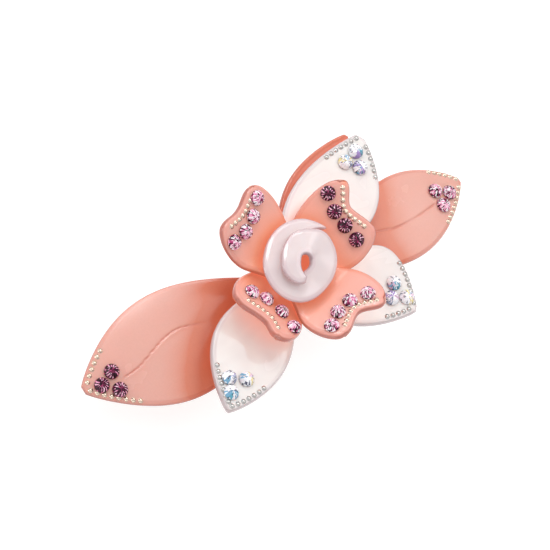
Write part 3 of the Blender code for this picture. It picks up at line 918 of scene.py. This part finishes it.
STUD_RADIUS = 0.54 * MM
STUD_SIDES = 16
STUD_TOP = 0.62
STUD_RINGS = (
    (0.3, 0.58), (0.55, 0.45), (0.72, 0.26), (0.78, 0.12), (0.96, 0.1), (1.0, 0.05), (1.0, -0.06),
)
STUD_SLOPE_STEP = 0.05 * MM
LEAF_OUTLINE_STEPS = 1200
LEAF_STUDS_END = -0.6
BEHIND_TIP = 0.02
PETAL_OUTLINE_STEPS = 800
PETAL_INSIDE = 0.6
PETAL_STUD_COUNT = 14
PETAL_STUD_SKIP = 0.5 * MM
PETAL_STUD_SPACING = 1.2 * MM


def stud_verts(middle, normal):
    """A small dome on a thin flange: its top, then rings of points."""
    place = Matrix.Translation(middle) @ normal.to_track_quat("Z", "X").to_matrix().to_4x4()
    verts = [Vector((0, 0, STUD_TOP))]
    for radius, height in STUD_RINGS:
        for step in range(STUD_SIDES):
            angle = step * 2 * math.pi / STUD_SIDES
            verts.append(Vector((radius * math.cos(angle), radius * math.sin(angle), height)))
    return [place @ (vert * STUD_RADIUS) for vert in verts]


def stud_row(name, spots, material):
    """One piece for each row of studs; spots are (point, normal)."""
    verts, faces = [], []
    for middle, normal in spots:
        top = len(verts)
        rings = [top + 1 + ring * STUD_SIDES for ring in range(len(STUD_RINGS))]
        verts += stud_verts(middle, normal)
        for step in range(STUD_SIDES):
            after = (step + 1) % STUD_SIDES
            faces.append((top, rings[0] + step, rings[0] + after))
            for high, low in zip(rings, rings[1:]):
                faces.append((high + step, low + step, low + after, high + after))
        faces.append(tuple(rings[-1] + step for step in reversed(range(STUD_SIDES))))
    mesh = bpy.data.meshes.new(name)
    mesh.from_pydata(verts, [], faces)
    mesh.shade_smooth()
    mesh.materials.append(material)
    piece = add_object(name, mesh)
    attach(piece, "clip")


def inset_spots(edge, inside, inset, height, count, skip, spacing):
    """Points a little in from an outline, evenly spaced from its start, laid on a sheet's upper face.

    inside is a line on the sheet that shows which way is in.
    """
    along = np.gradient(edge, axis=0)
    normal = np.stack((-along[:, 1], along[:, 0]), axis=-1)
    normal /= np.linalg.norm(normal, axis=1, keepdims=True)
    facing = np.sign(((inside - edge) * normal).sum())
    path = edge + normal * facing * inset
    run = np.concatenate(((0,), np.cumsum(np.linalg.norm(np.diff(path, axis=0), axis=1))))
    spots = []
    for index in range(count):
        at = skip + index * spacing
        if at > run[-1]:
            break
        x, y = (np.interp(at, run, path[:, axis]) for axis in (0, 1))
        slope_x, slope_y = slopes(height, x, y, STUD_SLOPE_STEP)
        up = Vector((-slope_x, -slope_y, 1)).normalized()
        spots.append((Vector((x, y, height(x, y))) + up * SHEET, up))
    return spots


def leaf_studs(values, side, count, inset, skip, spacing):
    """A row from the tip back along one side of a leaf; its measures are in millimetres."""
    a = np.linspace(1, LEAF_STUDS_END, LEAF_OUTLINE_STEPS)
    edge = leaf_points(values, a, np.full_like(a, side))[:, :2]
    middle = leaf_points(values, a - BEHIND_TIP, np.zeros_like(a))[:, :2]

    def height(x, y):
        return float(leaf_height(values, x, y))

    return inset_spots(edge, middle, inset * MM, height, count, skip * MM, spacing * MM)


def petal_studs(values, first, last, inset):
    """A row along a petal's notched end, between two places across it; the inset is in millimetres."""
    b = np.linspace(first, last, PETAL_OUTLINE_STEPS)
    edge = petal_points(values, np.ones_like(b), b)[:, :2]
    inside = petal_points(values, np.full_like(b, PETAL_INSIDE), b * PETAL_INSIDE)[:, :2]

    def height(x, y):
        return float(petal_height(values, x, y))

    return inset_spots(
        edge, inside, inset * MM, height, PETAL_STUD_COUNT, PETAL_STUD_SKIP, PETAL_STUD_SPACING,
    )


# Rows from each tip: side, number of studs, inset, distance of the first from the tip, spacing (mm)
LEAF_STUDS = {
    "peach_leaf_left": ((1, 8, 0.85, 0.6, 1.45), (-1, 6, 1.05, 0.9, 1.4)),
    "peach_leaf_right": ((1, 6, 0.8, 0.7, 1.3), (-1, 8, 0.75, 1.6, 1.3)),
    "white_petal_left": ((1, 7, 0.95, 0.6, 1.42), (-1, 7, 0.95, 1.4, 1.35)),
    "white_petal_top": ((1, 7, 0.9, 0.6, 1.35), (-1, 6, 0.8, 1.6, 1.35)),
    "white_petal_right": ((1, 8, 0.75, 0.6, 1.3), (-1, 5, 1.1, 1.2, 1.3)),
}
# Rows along the notched ends: first and last place across the petal, inset (mm)
PETAL_STUDS = {
    "upper_right": (0.86, -0.97, 1.3), "lower_left": (0.9, -0.9, 1.6), "upper_left": (0.97, -0.97, 1.3),
    "lower_right": (0.9, -0.9, 1.3),
}
for name, rows in LEAF_STUDS.items():
    for side, *measures in rows:
        row_name = f"{name}_studs_{'left' if side > 0 else 'right'}"
        spots = leaf_studs(LEAVES[name], side, *measures)
        if name.startswith("white"):
            stud_row(row_name, spots, STEEL)
        else:
            stud_row(row_name, spots, GOLD)
for name, measures in PETAL_STUDS.items():
    stud_row(f"petal_{name}_studs", petal_studs(PETALS[name], *measures), GOLD)


# The clasp ------------------------------------------------------------------------------------------

FLAT_WITHIN = math.radians(1)
BEVELLED_ABOVE = math.radians(35)
SHARP_ABOVE = math.radians(32)
BEVEL_SEGMENTS = 3


def polished(node, body, width):
    """The same metal part with its sharp edges broken."""
    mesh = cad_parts[node].data.copy()
    mesh.name = node + "_finished"
    shape = bmesh.new()
    shape.from_mesh(mesh)
    bmesh.ops.remove_doubles(shape, verts=shape.verts, dist=MERGE)
    bmesh.ops.dissolve_limit(
        shape, angle_limit=FLAT_WITHIN, verts=shape.verts, edges=shape.edges, delimit={"NORMAL"},
    )
    sharp = [e for e in shape.edges if len(e.link_faces) == 2 and e.calc_face_angle(0) > BEVELLED_ABOVE]
    bmesh.ops.bevel(
        shape, geom=sharp, offset=width, segments=BEVEL_SEGMENTS, profile=0.5, affect="EDGES",
        clamp_overlap=True,
    )
    bmesh.ops.triangulate(shape, faces=shape.faces)
    shape.to_mesh(mesh)
    shape.free()
    mesh.materials.clear()
    mesh.materials.append(STEEL)
    mesh.shade_smooth()
    mesh.set_sharp_from_angle(angle=SHARP_ABOVE)
    piece = add_object(node + "_finished", mesh)
    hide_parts(node)
    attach(piece, body)


# The body that each part rides on, and how wide its broken edges are (mm)
CLASP = {
    "clasp_base_plate": ("clip", 0.1), "hinge_pin": ("clip", 0.12), "latch_bracket": ("clip", 0.1),
    "latch_rivet_inner": ("clip", 0.12), "latch_rivet_outer": ("clip", 0.12),
    "locking_bar": ("locking_bar", 0.14), "tension_spring": ("tension_spring", 0.08),
    "latch_leg_front": ("latch_leg_front", 0.1), "latch_leg_back": ("latch_leg_back", 0.1),
}
for node, (body, width) in CLASP.items():
    polished(node, body, width * MM)


# The studio -----------------------------------------------------------------------------------------

def axes(azimuth, elevation, roll):
    """A camera's right, up and back directions, from its place round the clip and its roll (degrees)."""
    azimuth, elevation, roll = (math.radians(angle) for angle in (azimuth, elevation, roll))
    level = Vector((-math.sin(azimuth), math.cos(azimuth), 0))
    flat = Vector((math.cos(azimuth), math.sin(azimuth), 0))
    back = flat * math.cos(elevation) + Vector((0, 0, math.sin(elevation)))
    right = level * math.cos(roll) + back.cross(level) * math.sin(roll)
    return right, back.cross(right), back


RIGHT, UP, BACK = axes(azimuth=-166.51, elevation=62, roll=45)
AIM = Vector((0, 0, LEAF_UNDERSIDE)) - RIGHT * 1.65 * MM + UP * 1.237 * MM
VIEW_DISTANCE = 700 * MM
FLOOR_HALF = 3.0
FLOOR_GAP = 0.2 * MM
SKY_LOW = (0.42, 0.41, 0.42, 1)
SKY_HIGH = (0.86, 0.86, 0.88, 1)
SKY_STRENGTH = 0.98

camera_data = bpy.data.cameras.new("Camera")
camera_data.sensor_width = 36
camera_data.lens = 222.2
camera_data.clip_start = 0.01
camera = add_object("Camera", camera_data)
camera.matrix_world = (
    Matrix.Translation(AIM + BACK * VIEW_DISTANCE) @ Matrix((RIGHT, UP, BACK)).transposed().to_4x4()
)
bpy.context.scene.camera = camera

floor_mesh = bpy.data.meshes.new("Floor")
floor_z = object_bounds()[0].z - FLOOR_GAP
floor_mesh.from_pydata(
    [(x * FLOOR_HALF, y * FLOOR_HALF, floor_z) for x, y in ((-1, -1), (1, -1), (1, 1), (-1, 1))],
    [], [(0, 1, 2, 3)],
)
floor_finish = Finish("Paper", Roughness=0.9, Specular_IOR_Level=0.1, Emission_Strength=0.66)
floor_finish.shader.inputs["Base Color"].default_value = (0.55, 0.545, 0.54, 1)
floor_finish.shader.inputs["Emission Color"].default_value = (1, 0.995, 0.99, 1)
floor_mesh.materials.append(floor_finish.material)
floor = add_object("Floor", floor_mesh)


def softbox(name, direction, distance, width, height, power, colour=(1, 1, 1)):
    """An area light; its direction is given in the camera's own axes (right, up, towards the camera)."""
    data = bpy.data.lights.new(name, "AREA")
    data.shape = "RECTANGLE"
    data.size, data.size_y = width, height
    data.energy = power
    data.color = colour
    light = add_object(name, data)
    x, y, z = direction
    towards = (RIGHT * x + UP * y + BACK * z).normalized()
    light.matrix_world = (
        Matrix.Translation(AIM + towards * distance) @ towards.to_track_quat("Z", "Y").to_matrix().to_4x4()
    )


softbox("Key", (0.85, 0.6, 0.6), 0.6, 0.4, 0.4, 0.8, (1, 0.985, 0.97))
softbox("Fill", (-0.9, 0.3, 0.6), 0.6, 0.16, 0.34, 0.6, (0.98, 0.985, 1))
softbox("Crescent", (0.03, 0.8, 0.6), 0.55, 0.12, 0.2, 0.5)
softbox("Strip", (0.2, 1.0, 0.35), 0.5, 0.5, 0.06, 0.4)
softbox("Low strip", (-0.3, -1.0, 0.5), 0.55, 0.4, 0.05, 0.4)

world = bpy.data.worlds.new("Studio")
world.use_nodes = True
bpy.context.scene.world = world
tree = world.node_tree
background = tree.nodes["Background"]
direction = tree.nodes.new("ShaderNodeTexCoord")
split = tree.nodes.new("ShaderNodeSeparateXYZ")
sky = tree.nodes.new("ShaderNodeValToRGB")
lowest, highest = sky.color_ramp.elements
lowest.position, lowest.color = 0.0, SKY_LOW
highest.position, highest.color = 0.95, SKY_HIGH
tree.links.new(direction.outputs["Generated"], split.inputs["Vector"])
tree.links.new(split.outputs["Z"], sky.inputs["Fac"])
tree.links.new(sky.outputs["Color"], background.inputs["Color"])
background.inputs["Strength"].default_value = SKY_STRENGTH

view = bpy.context.scene.view_settings
view.view_transform = "Standard"
view.look = "None"
view.exposure = 0
view.gamma = 1
